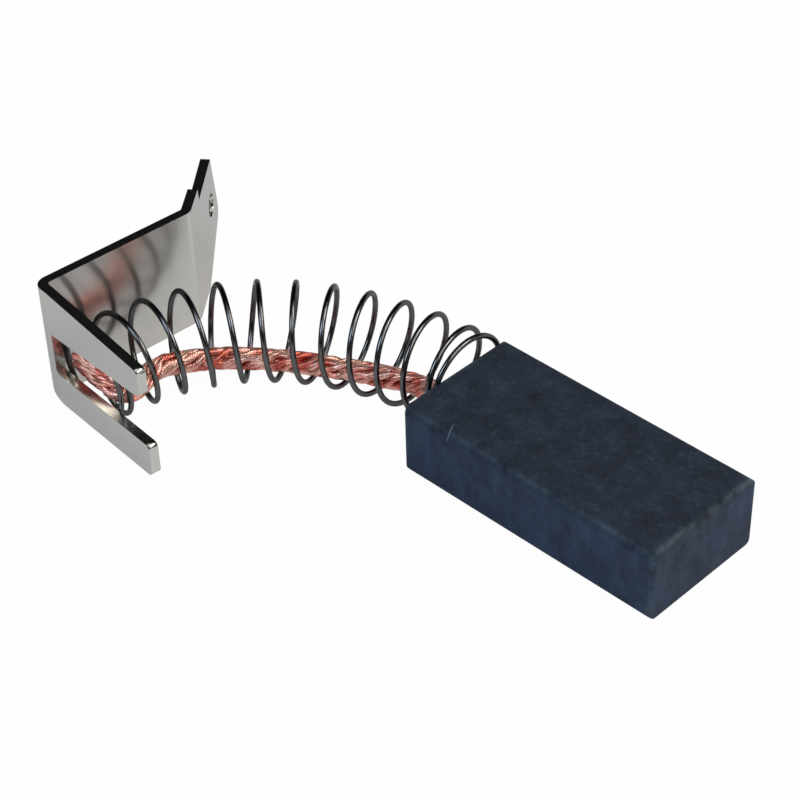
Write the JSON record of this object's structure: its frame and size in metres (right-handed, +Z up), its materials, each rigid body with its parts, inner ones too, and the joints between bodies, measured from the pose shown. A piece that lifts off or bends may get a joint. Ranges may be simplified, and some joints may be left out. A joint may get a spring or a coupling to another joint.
{
  "type": "carbon brush",
  "caption": "Motor carbon brush: rectangular carbon block with a stranded copper pigtail inside a pressure spring, ending on a folded plated terminal bracket with a forked plate and a tab.",
  "frame": {"origin": "middle of the carbon block's underside, on the surface it lies on", "axes": "+X along the block out of its wear face, +Y across the block away from the bracket's fork, +Z up"},
  "size_m": [0.0617, 0.0271, 0.0117],
  "materials": {
    "carbon": "matte pressed and fired carbon, blue-black",
    "tamping": "dull tamped copper powder",
    "copper": "bright stranded copper wire",
    "spring_steel": "dark drawn spring wire",
    "plated_sheet": "bright nickel plate"
  },
  "bodies": {
    "root": {"carbon_block": "carbon", "contact_tamping": "tamping", "pigtail": "copper", "pressure_spring": "spring_steel", "terminal_bracket": "plated_sheet"}
  },
  "joints": []
}
